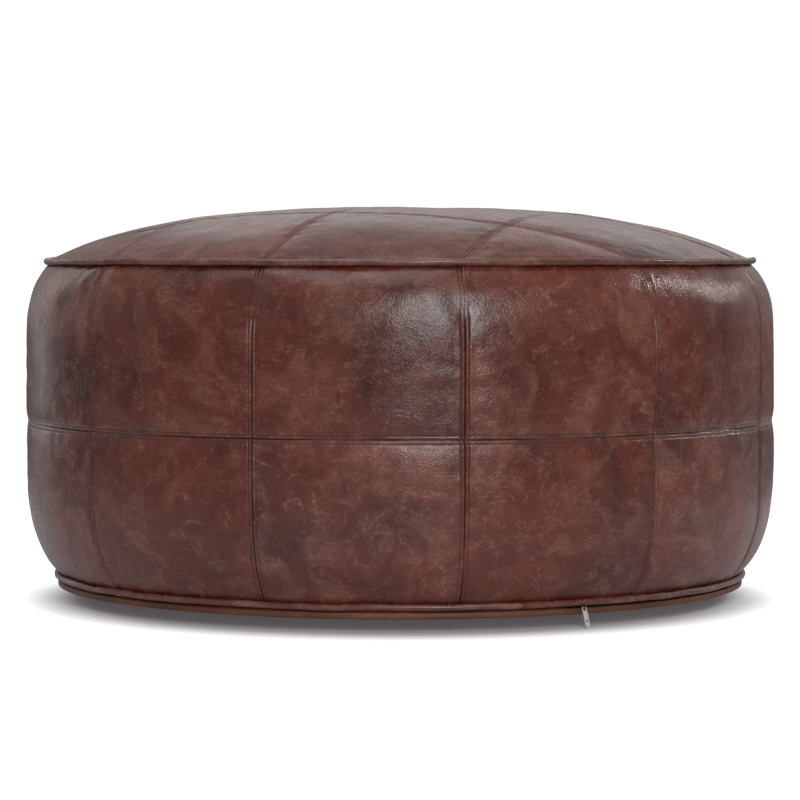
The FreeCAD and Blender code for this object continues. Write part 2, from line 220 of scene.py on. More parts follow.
def swell(place, out, sewn, held, wraps, most):
    """How far a stuffed cover moves outward, from a cloth simulation under the filling's pressure."""
    rows, cols = sewn.shape
    mesh = bpy.data.meshes.new("cover")
    mesh.from_pydata(place.reshape(-1, 3).tolist(), [], grid_faces(rows, cols, wraps).tolist())
    cover = bpy.data.objects.new("cover", mesh)
    bpy.context.scene.collection.objects.link(cover)
    pins = cover.vertex_groups.new(name="pins")
    taut = cover.vertex_groups.new(name="taut")
    pins.add(np.flatnonzero(held).tolist(), 1.0, "REPLACE")
    pins.add(np.flatnonzero(sewn & ~held).tolist(), seam_hold, "REPLACE")
    taut.add(np.flatnonzero(sewn | held).tolist(), 1.0, "REPLACE")
    taut.add(np.flatnonzero(~(sewn | held)).tolist(), 0.0, "REPLACE")
    cloth = cover.modifiers.new("Cloth", "CLOTH")
    made = cloth.settings
    made.quality = 5
    made.mass = 0.3
    made.tension_stiffness = made.compression_stiffness = 15
    made.shear_stiffness = 5
    made.bending_stiffness = 0.1
    made.tension_damping = made.compression_damping = made.shear_damping = 25
    made.bending_damping = 1
    made.air_damping = 5
    made.vertex_group_mass = "pins"
    made.pin_stiffness = 1
    made.use_pressure = True
    made.uniform_pressure_force = 5
    made.vertex_group_shrink = "taut"
    made.shrink_min = -0.0025
    made.shrink_max = 0.008
    made.effector_weights.gravity = 0
    cloth.collision_settings.use_collision = False
    cloth.point_cache.frame_start = 1
    cloth.point_cache.frame_end = simulation_frames
    for step in range(1, simulation_frames + 1):
        bpy.context.scene.frame_set(step)
    swollen = cover.evaluated_get(bpy.context.evaluated_depsgraph_get())
    moved = np.empty(rows * cols * 3, np.float32)
    swollen.data.vertices.foreach_get("co", moved)
    bpy.data.objects.remove(cover)
    bpy.data.meshes.remove(mesh)
    bpy.context.scene.frame_set(1)
    outward = ((moved.reshape(place.shape) - place) * out).sum(-1)
    return np.clip(outward, -most, most)


def smooth_read(grid, row, col, wraps):
    """The simulated grid read between its points with a smooth cubic, as one more subdivision gives."""
    rows, cols = grid.shape
    row, col = np.broadcast_arrays(row, col)
    i, j = np.floor(row).astype(int), np.floor(col).astype(int)
    u, v = row - i, col - j

    def weights(t):
        return [(1 - t) ** 3 / 6, (3 * t ** 3 - 6 * t ** 2 + 4) / 6,
                (-3 * t ** 3 + 3 * t ** 2 + 3 * t + 1) / 6, t ** 3 / 6]

    total = np.zeros(row.shape)
    for a, down in enumerate(weights(u)):
        for b, along in enumerate(weights(v)):
            jj = (j + b - 1) % cols if wraps else np.clip(j + b - 1, 0, cols - 1)
            total += down * along * grid[np.clip(i + a - 1, 0, rows - 1), jj]
    return total


side_cells = 26
cell = 2 * math.pi * belly_reach / columns / side_cells
low_cells, high_cells = round(level_way / cell), round((head_way - level_way) / cell)
side_marks = np.concatenate([np.linspace(0, level_way, low_cells + 1),
                             np.linspace(level_way, head_way, high_cells + 1)[1:]])
side_turns = np.arange(columns * side_cells) * column_angle / side_cells
grid_way, grid_turn = np.meshgrid(side_marks, first_seam + side_turns, indexing="ij")
side_sewn = np.zeros(grid_way.shape, bool)
side_sewn[:, ::side_cells] = True
side_sewn[low_cells] = True
side_held = np.zeros(grid_way.shape, bool)
side_held[[0, -1]] = True
side_swell = swell(*side_frame(grid_turn, grid_way), side_sewn, side_held, True, side_movement)

crown_cells = 24
crown_marks = np.linspace(-crown_reach, crown_reach, 4 * crown_cells + 1)
grid_y, grid_x = np.meshgrid(crown_marks, crown_marks, indexing="ij")
crown_sewn = np.zeros(grid_x.shape, bool)
crown_sewn[:, ::crown_cells] = True
crown_sewn[::crown_cells] = True
crown_held = np.hypot(grid_x, grid_y) > crown_reach - cell / 2
shrink_in = np.minimum(1, crown_reach / np.maximum(np.hypot(grid_x, grid_y), MM))
crown_place = crown_frame(grid_x * shrink_in, grid_y * shrink_in)
crown_swell = swell(*crown_place, crown_sewn, crown_held, False, crown_movement)


# ---------------------------------------------------------------- relief of seams and creases

def sewn_relief(away):
    """Height of an opened, pressed and stitched-down seam, at a distance from its joint."""
    d = away / MM
    joint = -1.1 * np.exp(-(d / 0.65) ** 2)
    strip = 0.3 * np.exp(-((d - 2.2) / 1.1) ** 2)
    row = -0.5 * np.exp(-((d - stitch_row / MM) / 0.65) ** 2)
    ridge = 0.22 * np.exp(-((d - 6.4) / 1.7) ** 2)
    valley = -0.2 * np.exp(-(d / 14.0) ** 2)
    return (joint + strip + row + ridge + valley) * MM


def ripple(place, size, seed):
    """Smooth, seeded waves through space, between -1 and 1, with bumps about `size` long."""
    rng = np.random.default_rng(seed)
    total = np.zeros(place.shape[:-1])
    for _ in range(14):
        way = rng.normal(size=3)
        way *= 2 * math.pi / (size * rng.uniform(0.8, 1.7)) / np.linalg.norm(way)
        total += np.sin(place @ way + rng.uniform(0, 2 * math.pi))
    return total / 5.5


def creases(place, away):
    """Small puckers drawn in by the stitching, and slow unevenness of the filling."""
    near = np.exp(-away / (17 * MM))
    rows = np.clip(away / (6 * MM), 0, 1)
    pucker = ripple(place, 17 * MM, 3) * near * rows * 0.55
    slack = ripple(place, 85 * MM, 4) * 0.7 + ripple(place, 38 * MM, 5) * 0.16
    return (pucker + slack) * MM


def finished(place, out, lift, edge):
    """The surface raised by its lift, flat where it goes under the piping."""
    fade = np.clip(edge / fade_width, 0, 1)
    lift = np.maximum(lift + fullness * fade, deepest)
    return place + out * lift[..., None]


def side_surface(turn, way):
    """The finished side: points, outward directions and the distance to the nearest seam."""
    turn, way = np.broadcast_arrays(turn, way)
    place, out = side_frame(turn, way)
    share = ((turn - first_seam) / column_angle) % 1.0
    reach = np.hypot(place[..., 0], place[..., 1])
    upright = np.minimum(share, 1 - share) * column_angle * reach
    level = np.abs(way - level_way)
    away = np.minimum(upright, level)
    row = np.interp(way, side_marks, np.arange(len(side_marks)))
    col = ((turn - first_seam) / column_angle * side_cells) % (columns * side_cells)
    edge = np.minimum(way, head_way - way)
    lift = smooth_read(side_swell, row, col, True)
    lift += creases(place, np.minimum(away, edge + edge_pucker)) * np.clip(edge / fade_width, 0, 1)
    lift += (sewn_relief(upright) + sewn_relief(level)) * np.clip(edge / seam_end, 0, 1)
    return finished(place, out, lift, edge), out, away


def crown_surface(x, y):
    """The finished crown, on axes that follow its seams."""
    x, y = np.broadcast_arrays(x, y)
    place, out = crown_frame(x, y)
    pitch = crown_reach / 2
    across = [np.abs(v - np.clip(np.round(v / pitch), -1, 1) * pitch) for v in (x, y)]
    away = np.minimum(*across)
    edge = crown_reach - np.hypot(x, y)
    index = [(v + crown_reach) / pitch * crown_cells for v in (y, x)]
    lift = smooth_read(crown_swell, index[0], index[1], False)
    lift += creases(place, np.minimum(away, np.maximum(edge, 0) + edge_pucker))
    lift *= np.clip(edge / fade_width, 0, 1)
    lift += (sewn_relief(across[0]) + sewn_relief(across[1])) * np.clip(edge / seam_end, 0, 1)
    return finished(place, out, lift, edge), out, away


# ---------------------------------------------------------------- mesh helpers

def new_piece(name, points, faces, material, notes=None):
    """A smooth-shaded mesh, with notes kept on its points for the material to read."""
    mesh = bpy.data.meshes.new(name)
    mesh.from_pydata(points.reshape(-1, 3).tolist(), [], faces)
    for title, values in (notes or {}).items():
        values = np.asarray(values, np.float32)
        kind = "FLOAT_VECTOR" if values.ndim == 2 else "FLOAT"
        note = mesh.attributes.new(title, kind, "POINT")
        note.data.foreach_set("vector" if values.ndim == 2 else "value", values.ravel())
    mesh.materials.append(material)
    mesh.polygons.foreach_set("use_smooth", [True] * len(mesh.polygons))
    mesh.update()
    piece = bpy.data.objects.new(name, mesh)
    bpy.context.scene.collection.objects.link(piece)
    return piece


def weld(piece):
    """Joins points that lie on each other, where a patch runs out to a tip."""
    work = bmesh.new()
    work.from_mesh(piece.data)
    bmesh.ops.remove_doubles(work, verts=work.verts, dist=0.02 * MM)
    work.to_mesh(piece.data)
    work.free()


def skin(node, surface):
    """A closed leather piece from a surface function's grid: face, back and cut edges."""
    tone = dice.uniform(-1, 1)
    face, out, away = surface
    rows, cols = away.shape
    back = face - out * leather
    faces = grid_faces(rows, cols, False)
    total = rows * cols
    numbers = np.arange(total).reshape(rows, cols)
    rim = np.concatenate([numbers[0], numbers[1:, -1], numbers[-1, -2::-1], numbers[-2:0:-1, 0]])
    after = np.roll(rim, -1)
    edges = np.stack([after, rim, rim + total, after + total], -1)
    faces = np.concatenate([faces, faces[:, ::-1] + total, edges])
    away = np.concatenate([away.ravel(), away.ravel()])
    shift = np.tile(dice.uniform(-3, 3, 3), (2 * total, 1))
    notes = {"seam_distance": away, "tone": np.full(2 * total, tone), "hide_shift": shift}
    points = np.concatenate([face.reshape(-1, 3), back.reshape(-1, 3)])
    piece = new_piece("skin_" + node, points, faces.tolist(), hide, notes)
    weld(piece)
    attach(piece, ROOT)
    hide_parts(node)


near_seam = MM * np.array([0, 0.4, 0.8, 1.2, 1.7, 2.3, 2.9, 3.4, 3.8, 4.2, 4.7, 5.3, 6.2, 7.4, 9.2,
                           12, 16, 21])


def marks(length, middle):
    """Places across a piece, close together by the seams at both ends."""
    length = np.asarray(length, float)[..., None]
    reach = near_seam[-1]
    squeeze = np.minimum(1, length / (2 * reach + middle * MM))
    start = near_seam * squeeze
    rest = np.linspace(0, 1, middle + 2)[1:-1]
    centre = reach * squeeze + (length - 2 * reach * squeeze) * rest
    return np.concatenate([start, centre, length - start[..., ::-1]], -1)


# ---------------------------------------------------------------- materials

class Value:
    """A shader socket that Python sums work on."""

    def __init__(self, paint, socket):
        self.paint = paint
        self.socket = socket

    def sum(self, operation, first, second):
        return self.paint.node("ShaderNodeMath", {"operation": operation}, {0: first, 1: second})

    def __add__(self, other):
        return self.sum("ADD", self, other)

    def __radd__(self, other):
        return self.sum("ADD", other, self)

    def __sub__(self, other):
        return self.sum("SUBTRACT", self, other)

    def __rsub__(self, other):
        return self.sum("SUBTRACT", other, self)

    def __mul__(self, other):
        return self.sum("MULTIPLY", self, other)

    def __rmul__(self, other):
        return self.sum("MULTIPLY", other, self)

    def __abs__(self):
        return self.sum("ABSOLUTE", self, 0)

    def above(self, low, high):
        """0 below low, 1 above high, and smooth between."""
        return self.paint.node("ShaderNodeMapRange", {"interpolation_type": "SMOOTHSTEP"},
                               {"Value": self, "From Min": low, "From Max": high})


class Paint:
    """The nodes of one material."""

    def __init__(self, name, **shader):
        self.material = bpy.data.materials.new(name)
        self.material.use_nodes = True
        self.tree = self.material.node_tree
        self.shader = self.tree.nodes["Principled BSDF"]
        for socket, value in shader.items():
            self.shader.inputs[socket.replace("_", " ")].default_value = value

    def node(self, kind, settings=None, sockets=None, out=0):
        """Any node: its type, its settings, and the values or links of its sockets."""
        made = self.tree.nodes.new(kind)
        for key, value in (settings or {}).items():
            setattr(made, key, value)
        for key, value in (sockets or {}).items():
            self.put(made.inputs[key], value)
        return Value(self, made.outputs[out])

    def put(self, socket, value):
        """Links a value to a socket, or sets a constant on it."""
        if isinstance(value, Value):
            self.tree.links.new(value.socket, socket)
        else:
            socket.default_value = value

    def place(self, shift=None):
        """Where a point is on its piece, moved for each piece by a note when one is named."""
        here = self.node("ShaderNodeTexCoord", out="Object")
        if shift is None:
            return here
        moved = self.node("ShaderNodeAttribute", {"attribute_name": shift}, out="Vector")
        return self.vector("ADD", here, moved)

    def note(self, title):
        return self.node("ShaderNodeAttribute", {"attribute_name": title}, out="Fac")

    def vector(self, operation, first, second):
        return self.node("ShaderNodeVectorMath", {"operation": operation}, {0: first, 1: second})

    def noise(self, where, size, detail=3, rough=0.5, twist=0.0):
        """Smooth noise whose lumps are about `size` metres across."""
        return self.node("ShaderNodeTexNoise", None, {"Vector": where, "Scale": 1 / size, "Detail": detail,
                                                      "Roughness": rough, "Distortion": twist})

    def cells(self, where, size, feature="F1"):
        return self.node("ShaderNodeTexVoronoi", {"feature": feature}, {"Vector": where, "Scale": 1 / size})

    def mix(self, share, first, second):
        """A colour between two colours."""
        made = self.tree.nodes.new("ShaderNodeMix")
        made.data_type = "RGBA"
        for socket, value in ((made.inputs[0], share), (made.inputs[6], first), (made.inputs[7], second)):
            self.put(socket, (*value, 1) if isinstance(value, tuple) else value)
        return Value(self, made.outputs[2])

    def relief(self, height, depth, strength=1.0, under=None):
        sockets = {"Height": height, "Distance": depth, "Strength": strength}
        if under is not None:
            sockets["Normal"] = under
        return self.node("ShaderNodeBump", None, sockets)

    def finish(self, **sockets):
        for socket, value in sockets.items():
            self.put(self.shader.inputs[socket.replace("_", " ")], value)
        return self.material


def waxed_leather(name, dark, middle, warm, pale, worn=1.0, gloss=0.225):
    """Waxed, pulled-up leather: mottled browns, pale rubs and fine scratches, grain and creases."""
    p = Paint(name, IOR=1.6, Specular_IOR_Level=0.5)
    here = p.place("hide_shift")
    clouds = p.noise(here, 120 * MM, 3, 0.55, 0.6)
    mottle = p.noise(here, 34 * MM, 7, 0.64, 0.5)
    flecks = p.noise(here, 9 * MM, 6, 0.68, 0.3)
    vein = abs(p.noise(here, 60 * MM, 6, 0.62, 0.9) - 0.5)
    veins = (1 - vein.above(0.001, 0.013)) * flecks.above(0.42, 0.6)
    lie = p.node("ShaderNodeMapping", {"vector_type": "POINT"}, {"Vector": here, "Scale": (1.0, 1.0, 5.5)})
    strokes = p.noise(lie, 26 * MM, 6, 0.66, 0.5).above(0.56, 0.72)
    pulled = p.noise(here, 52 * MM, 8, 0.68, 1.0).above(0.45, 0.66)
    crackles = 1 - abs(p.noise(lie, 60 * MM, 7, 0.66, 0.9) - 0.5).above(0.002, 0.016)
    slant = p.node("ShaderNodeMapping", {"vector_type": "POINT"},
                   {"Vector": here, "Rotation": (0.6, 0.35, 0.7), "Scale": (1.0, 6.0, 1.0)})
    scrapes = p.noise(slant, 13 * MM, 4, 0.6, 0.5).above(0.64, 0.76)
    rubs = p.noise(here, 21 * MM, 7, 0.70, 0.8).above(0.56, 0.74)
    worn_here = clouds.above(0.40, 0.62)
    seam = p.note("seam_distance")
    tone = p.note("tone")

    colour = p.mix(clouds.above(0.22, 0.60), dark, middle)
    colour = p.mix(mottle.above(0.47, 0.68) * (worn_here * 0.55 + 0.25), colour, warm)
    colour = p.mix((1 - mottle.above(0.32, 0.46)) * 0.6, colour, dark)
    colour = p.mix((1 - flecks.above(0.30, 0.44)) * 0.5, colour, dark)
    colour = p.mix(pulled * (0.17 * worn), colour, pale)
    colour = p.mix(crackles * pulled * (0.42 * worn), colour, pale)
    colour = p.mix(rubs * (worn_here * 0.30 + 0.10) * worn, colour, pale)
    colour = p.mix(strokes * mottle.above(0.42, 0.6) * (0.26 * worn), colour, pale)
    colour = p.mix(scrapes * worn_here * (0.12 * worn), colour, pale)
    colour = p.mix(veins * (0.40 * worn), colour, pale)
    by_thread = 1 - abs(seam - stitch_row).above(0.2 * MM, 1.1 * MM)
    colour = p.mix(by_thread * 0.26, colour, (0.020, 0.006, 0.004))
    colour = p.mix((1 - seam.above(0.2 * MM, 1.2 * MM)) * 0.45, colour, (0.012, 0.004, 0.003))
    colour = p.node("ShaderNodeHueSaturation", None, {"Color": colour, "Value": tone * 0.12 + 1.0,
                                                      "Saturation": tone * -0.04 + 1.0})

    rough = (clouds - 0.5) * 0.10 + (mottle - 0.5) * 0.20 + rubs * 0.12
    rough = rough + (flecks - 0.5) * 0.10 + gloss
    pores = p.cells(here, 1.1 * MM)
    pebble = p.cells(here, 2.3 * MM, "SMOOTH_F1")
    fine = p.noise(here, 0.8 * MM, 2, 0.5)
    grain_depth = mottle.above(0.3, 0.7) * 0.8 + 0.35
    wrinkle = abs(p.noise(here, 8 * MM, 4, 0.55, 0.8) - 0.5).above(0.0, 0.07)
    normal = p.relief((pebble + pores * 0.6 + fine * 0.5) * grain_depth, 0.4 * MM, 0.42)
    normal = p.relief(wrinkle * mottle, 0.25 * MM, 0.35, normal)
    normal = p.relief(mottle + clouds + flecks * 0.35, 1.6 * MM, 0.24, normal)
    return p.finish(Base_Color=colour, Roughness=rough, Normal=normal)


hide = waxed_leather("waxed_hide", (0.062, 0.0125, 0.0080), (0.144, 0.0285, 0.0165), (0.208, 0.052, 0.026),
                     (0.42, 0.200, 0.147))
piping_hide = waxed_leather("piping_hide", (0.070, 0.019, 0.013), (0.155, 0.042, 0.028), (0.23, 0.070, 0.036),
                            (0.44, 0.22, 0.18), 1.2, 0.27)
base_hide = waxed_leather("base_hide", (0.066, 0.017, 0.006), (0.145, 0.041, 0.013), (0.21, 0.064, 0.019),
                          (0.25, 0.11, 0.05), 0.6, 0.55)


def thread_stuff():
    """Twisted waxed thread."""
    p = Paint("waxed_thread", Roughness=0.5, Sheen_Weight=0.2)
    here = p.place()
    fibre = p.noise(here, 0.5 * MM, 3, 0.6)
    colour = p.mix(fibre, (0.022, 0.009, 0.007), (0.075, 0.030, 0.022))
    return p.finish(Base_Color=colour, Roughness=fibre * 0.3 + 0.4, Normal=p.relief(fibre, 0.2 * MM, 0.6))


def nickel():
    """Old, handled nickel, with fine scratches and a warm tarnish."""
    p = Paint("old_nickel", Metallic=1.0)
    here = p.place()
    tarnish = p.noise(here, 3 * MM, 4, 0.6, 0.5)
    rubbing = p.node("ShaderNodeMapping", None, {"Vector": here, "Scale": (1.0, 1.0, 0.08)})
    scratch = p.noise(rubbing, 0.35 * MM, 3, 0.6)
    colour = p.mix(tarnish.above(0.4, 0.75), (0.90, 0.86, 0.80), (0.68, 0.61, 0.53))
    return p.finish(Base_Color=colour, Roughness=tarnish * 0.22 + scratch * 0.1 + 0.30,
                    Normal=p.relief(scratch, 0.05 * MM, 0.35))


def woven(name, light, dark, yarn, roughness):
    """Plain-woven cloth with yarns of a given width."""
    p = Paint(name, Roughness=roughness, Sheen_Weight=0.15)
    here = p.place()
    wave = {"wave_type": "BANDS", "bands_direction": "Z", "wave_profile": "SIN"}
    pace = {"Vector": here, "Scale": 0.314 / yarn, "Distortion": 0.6}
    over = p.node("ShaderNodeTexWave", wave, pace, "Fac")
    under = p.node("ShaderNodeTexWave", wave | {"bands_direction": "DIAGONAL"}, pace, "Fac")
    blotch = p.noise(here, 22 * MM, 4, 0.6)
    weave = over * 0.5 + under * 0.5
    colour = p.mix(weave * 0.6 + blotch * 0.4, dark, light)
    return p.finish(Base_Color=colour, Roughness=blotch * 0.1 + roughness - 0.05,
                    Normal=p.relief(weave, yarn / 2, 0.6))


def open_cell_foam():
    """Yellowing open-cell foam."""
    p = Paint("open_cell_foam", Roughness=0.9)
    here = p.place()
    pores = p.cells(here, 1.6 * MM)
    stain = p.noise(here, 60 * MM, 3, 0.6)
    colour = p.mix(pores.above(0.0, 0.6) * 0.7 + stain * 0.3, (0.52, 0.42, 0.22), (0.86, 0.78, 0.55))
    return p.finish(Base_Color=colour, Roughness=stain * 0.1 + 0.85, Normal=p.relief(pores, 0.8 * MM, 0.7))


def carded_wadding():
    """White carded polyester wadding."""
    p = Paint("carded_wadding", Roughness=0.95, Sheen_Weight=0.4)
    here = p.place()
    lie = p.node("ShaderNodeMapping", None, {"Vector": here, "Scale": (1.0, 1.0, 5.0)})
    fibre = p.noise(lie, 5 * MM, 6, 0.7, 2.0)
    tuft = p.noise(here, 30 * MM, 3, 0.5)
    colour = p.mix(fibre * 0.6 + tuft * 0.4, (0.70, 0.69, 0.66), (0.93, 0.93, 0.91))
    return p.finish(Base_Color=colour, Roughness=tuft * 0.08 + 0.9, Normal=p.relief(fibre, 1.5 * MM, 0.7))


def nylon_coil():
    """The zip's teeth, in dyed nylon."""
    p = Paint("nylon_coil", Roughness=0.4)
    here = p.place()
    grain = p.noise(here, 1.2 * MM, 3, 0.6)
    colour = p.mix(grain, (0.030, 0.012, 0.009), (0.070, 0.028, 0.020))
    return p.finish(Base_Color=colour, Roughness=grain * 0.2 + 0.3, Normal=p.relief(grain, 0.1 * MM, 0.4))


def brown_enamel():
    """The slider's brown enamel, rubbed through to the metal in places."""
    p = Paint("brown_enamel", Roughness=0.35)
    here = p.place()
    rubbed = p.noise(here, 2.2 * MM, 4, 0.6, 0.4).above(0.6, 0.68)
    speck = p.noise(here, 0.6 * MM, 3, 0.6)
    colour = p.mix(rubbed * 0.6, (0.045, 0.020, 0.014), (0.45, 0.38, 0.30))
    return p.finish(Base_Color=colour, Metallic=rubbed * 0.8, Roughness=speck * 0.2 + 0.25,
                    Normal=p.relief(speck, 0.08 * MM, 0.3))


thread = thread_stuff()
enamel = brown_enamel()
metal = nickel()
tape = woven("woven_tape", (0.080, 0.036, 0.027), (0.028, 0.012, 0.010), 0.5 * MM, 0.8)
calico = woven("calico_cloth", (0.80, 0.74, 0.62), (0.60, 0.53, 0.41), 0.5 * MM, 0.88)
cord_stuff = woven("cotton_cord", (0.78, 0.72, 0.60), (0.55, 0.49, 0.38), 1.1 * MM, 0.85)
foam = open_cell_foam()
wadding = carded_wadding()
coil = nylon_coil()


# ---------------------------------------------------------------- leather panels

def side_panels():
    """Twelve columns of two panels each."""
    width = belly_reach * column_angle
    for column in range(columns):
        start = first_seam + column * column_angle
        turn = (start + marks(width, panel_lines) / width * column_angle)[None, :]
        for name, low, high in (("side_lower_", 0.0, level_way), ("side_upper_", level_way, head_way)):
            way = (low + marks(high - low, patch_lines))[:, None]
            skin(f"{name}{column + 1:02d}", side_surface(turn, way))


def crown_patches():
    """Four rows of four patches, cut round by the piping, and the corner ones down to their tips."""
    pitch = crown_reach / 2
    edges = [-crown_reach, -pitch, 0.0, pitch, crown_reach]
    corner_reach = math.sqrt(crown_reach ** 2 - pitch ** 2)
    for row in range(4):
        for column in range(4):
            outer_row, outer_column = row in (0, 3), column in (0, 3)
            low, high = edges[column], edges[column + 1]
            if outer_column and outer_row:
                low, high = np.clip([low, high], -corner_reach, corner_reach)
            if outer_column and not outer_row:
                along = edges[row] + marks(pitch, patch_lines)
                limit = np.sqrt(crown_reach ** 2 - along ** 2)
                begin = np.where(column == 0, -limit, low)
                end = np.where(column == 0, high, limit)
                x, y = begin[:, None] + marks(end - begin, patch_lines), along[:, None]
            else:
                along = low + marks(high - low, patch_lines)
                limit = np.sqrt(np.maximum(crown_reach ** 2 - along ** 2, 0))
                begin = -limit if row == 0 else np.full_like(along, edges[row])
                end = limit if row == 3 else np.full_like(along, edges[row + 1])
                across = marks(np.maximum(end - begin, 0), patch_lines)
                x, y = along[None, :], (begin[:, None] + across).T
            skin(f"top_patch_{row + 1}{column + 1}", crown_surface(x, y))


side_panels()
crown_patches()


# ---------------------------------------------------------------- stitching

def stitches(name, rows):
    """Short lengths of thread laid on rows of points, each dipping into the leather at its ends."""
    sides = 6
    look = 0.5 * MM
    ring = np.linspace(0, 2 * math.pi, sides, endpoint=False)
    along = np.array([-1.0, -0.86, -0.4, 0.4, 0.86, 1.0]) * stitch_length / 2
    girth = np.array([0.35, 0.85, 1.0, 1.0, 0.85, 0.35]) * thread_radius
    dip = np.array([-0.55, -0.22, 0.1, 0.1, -0.22, -0.55]) * MM
    loop = np.arange(sides)
    stitch = grid_faces(len(along), sides, True).tolist()
    stitch += [loop[::-1].tolist(), (loop + (len(along) - 1) * sides).tolist()]
    points = []
    for places, outs in rows:
        step = np.linalg.norm(np.diff(places, axis=0), axis=1)
        run = np.concatenate([[0.0], np.cumsum(step)])
        number = int(run[-1] / stitch_pitch)
        at = (np.arange(number) + 0.5) * run[-1] / number
        where = np.stack([np.interp(at, run, places[:, k]) for k in range(3)], -1)
        out = np.stack([np.interp(at, run, outs[:, k]) for k in range(3)], -1)
        ahead = np.stack([np.interp(at + look, run, places[:, k]) for k in range(3)], -1)
        behind = np.stack([np.interp(at - look, run, places[:, k]) for k in range(3)], -1)
        forward = (ahead - behind) / np.linalg.norm(ahead - behind, axis=1, keepdims=True)
        across = np.cross(out, forward)
        across += forward * dice.uniform(-stitch_skew, stitch_skew, (number, 1))
        centre = where[:, None] + forward[:, None] * along[:, None] + out[:, None] * dip[:, None]
        around = across[:, None, None] * np.cos(ring)[:, None] + out[:, None, None] * np.sin(ring)[:, None]
        points.append((centre[:, :, None] + around * girth[:, None, None]).reshape(-1, 3))
    points = np.concatenate(points)
    firsts = range(0, len(points), len(along) * sides)
    faces = [[first + corner for corner in face] for first in firsts for face in stitch]
    piece = new_piece(name, points, faces, thread)
    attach(piece, ROOT)


def all_stitching():
    """Two rows along every seam of the side and the crown."""
    round_turns = np.linspace(0, 2 * math.pi, 2400)
    level = []
    for side in (-1, 1):
        level.append(side_surface(round_turns, np.full_like(round_turns, level_way + side * stitch_row))[:2])
    stitches("thread_level_seam", level)
    upright = []
    for column in range(columns):
        for side in (-1, 1):
            for way in (np.linspace(row_end, level_way - crossing_gap, 200),
                        np.linspace(level_way + crossing_gap, head_way - row_end, 200)):
                reach = np.interp(way, WAY, REACH)
                turn = first_seam + column * column_angle + side * stitch_row / reach
                upright.append(side_surface(turn, way)[:2])
    stitches("thread_upright_seams", upright)
    crown = []
    for line in (-1, 0, 1):
        for side in (-1, 1):
            place = line * crown_reach / 2 + side * stitch_row
            end = math.sqrt(crown_reach ** 2 - place ** 2) - row_end
            run = np.linspace(-end, end, 800)
            crown.append(crown_surface(run, np.full_like(run, place))[:2])
            crown.append(crown_surface(np.full_like(run, place), run)[:2])
    stitches("thread_crown_seams", crown)


all_stitching()


# ---------------------------------------------------------------- piping

def piping(node, reach, height, seed):
    """Leather folded round a cord: a slightly uneven roll, with its flange going into the seam."""
    turns = np.linspace(0, 2 * math.pi, 1080, endpoint=False)
    roll_points = 22
    start = math.asin(flange_half / roll_radius)
    bend = np.linspace(math.pi - start, start - math.pi, roll_points)
    roll = np.stack([np.cos(bend) * roll_radius, np.sin(bend) * roll_radius], -1)
    flange_end = -roll_radius - flange_depth
    outline = np.concatenate([roll, [(flange_end, -flange_half), (flange_end, flange_half)]])
    circle = np.stack([np.cos(turns), np.sin(turns), np.zeros_like(turns)], -1)
    sway = ripple(circle * reach, 70 * MM, seed)
    fat = 1 + 0.05 * ripple(circle * reach, 24 * MM, seed + 1) - 0.03
    fat = np.where(np.arange(len(outline)) < roll_points, fat[:, None], 1.0)
    out = reach + outline[:, 0] * fat
    up = height + outline[:, 1] * fat + (sway * piping_sway)[:, None]
    points = np.stack([out * np.cos(turns)[:, None], out * np.sin(turns)[:, None], up], -1)
    faces = ring_faces(*out.shape)
    total = out.size
    notes = {"seam_distance": np.full(total, 0.02), "tone": np.zeros(total),
             "hide_shift": np.tile(dice.uniform(-3, 3, 3), (total, 1))}
    piece = new_piece("skin_" + node, points, faces[:, ::-1].tolist(), piping_hide, notes)
    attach(piece, ROOT)
    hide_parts(node)


piping("upper_piping_cover", upper_roll_reach, upper_roll_height, 21)
piping("lower_piping_cover", lower_roll_reach, lower_roll_height, 31)


# ---------------------------------------------------------------- base

def base_rise(reach):
    """Height of the base's underside, which climbs from its flat middle to its lip."""
    share = np.clip((reach - base_flat_reach) / (base_reach - base_flat_reach), 0, 1)
    return lip_foot * share ** base_fullness


def base_outline(sewn):
    """Reach and height along the base's section: its underside, its lip, and its upper side back in."""
    under = np.concatenate([[0.5 * MM], np.linspace(0.01, base_flat_reach, 14),
                            np.linspace(base_flat_reach, base_reach - 1 * MM, 44)[1:]])
    flange = lower_roll_height - flange_half
    wall = lower_roll_reach - tuck - leather
    lip = [(base_reach + 1.0 * MM, lip_foot + 0.2 * MM), (lip_reach - 0.3 * MM, lip_foot + 0.8 * MM),
           (lip_reach, lip_foot + 1.6 * MM), (lip_reach, lip_foot + 3.0 * MM),
           (lip_reach, lip_top - 1.0 * MM), (lip_reach - 0.3 * MM, lip_top - 0.3 * MM),
           (lip_reach - 0.9 * MM, lip_top)]
    climb = [(lip_reach - 1.6 * MM, lip_top + 0.8 * MM), (wall + leather, lip_top + crease_gap),
             (wall + leather / 2, flange - 0.4 * MM), (wall, flange), (wall - leather, flange),
             (wall - leather, lip_top + 1.0 * MM)]
    folded = [(lip_reach - share * MM, lip_top - 0.02 * MM) for share in (1.1, 1.3, 1.5, 1.7, 1.9, 2.1)]
    end = [(base_reach, lip_top - 0.2 * MM)]
    first = [(reach, base_rise(reach)) for reach in under]
    over = [(reach, rise + leather) for reach, rise in first[::-1]]
    return np.array(first + lip + (climb if sewn else folded) + end + over)


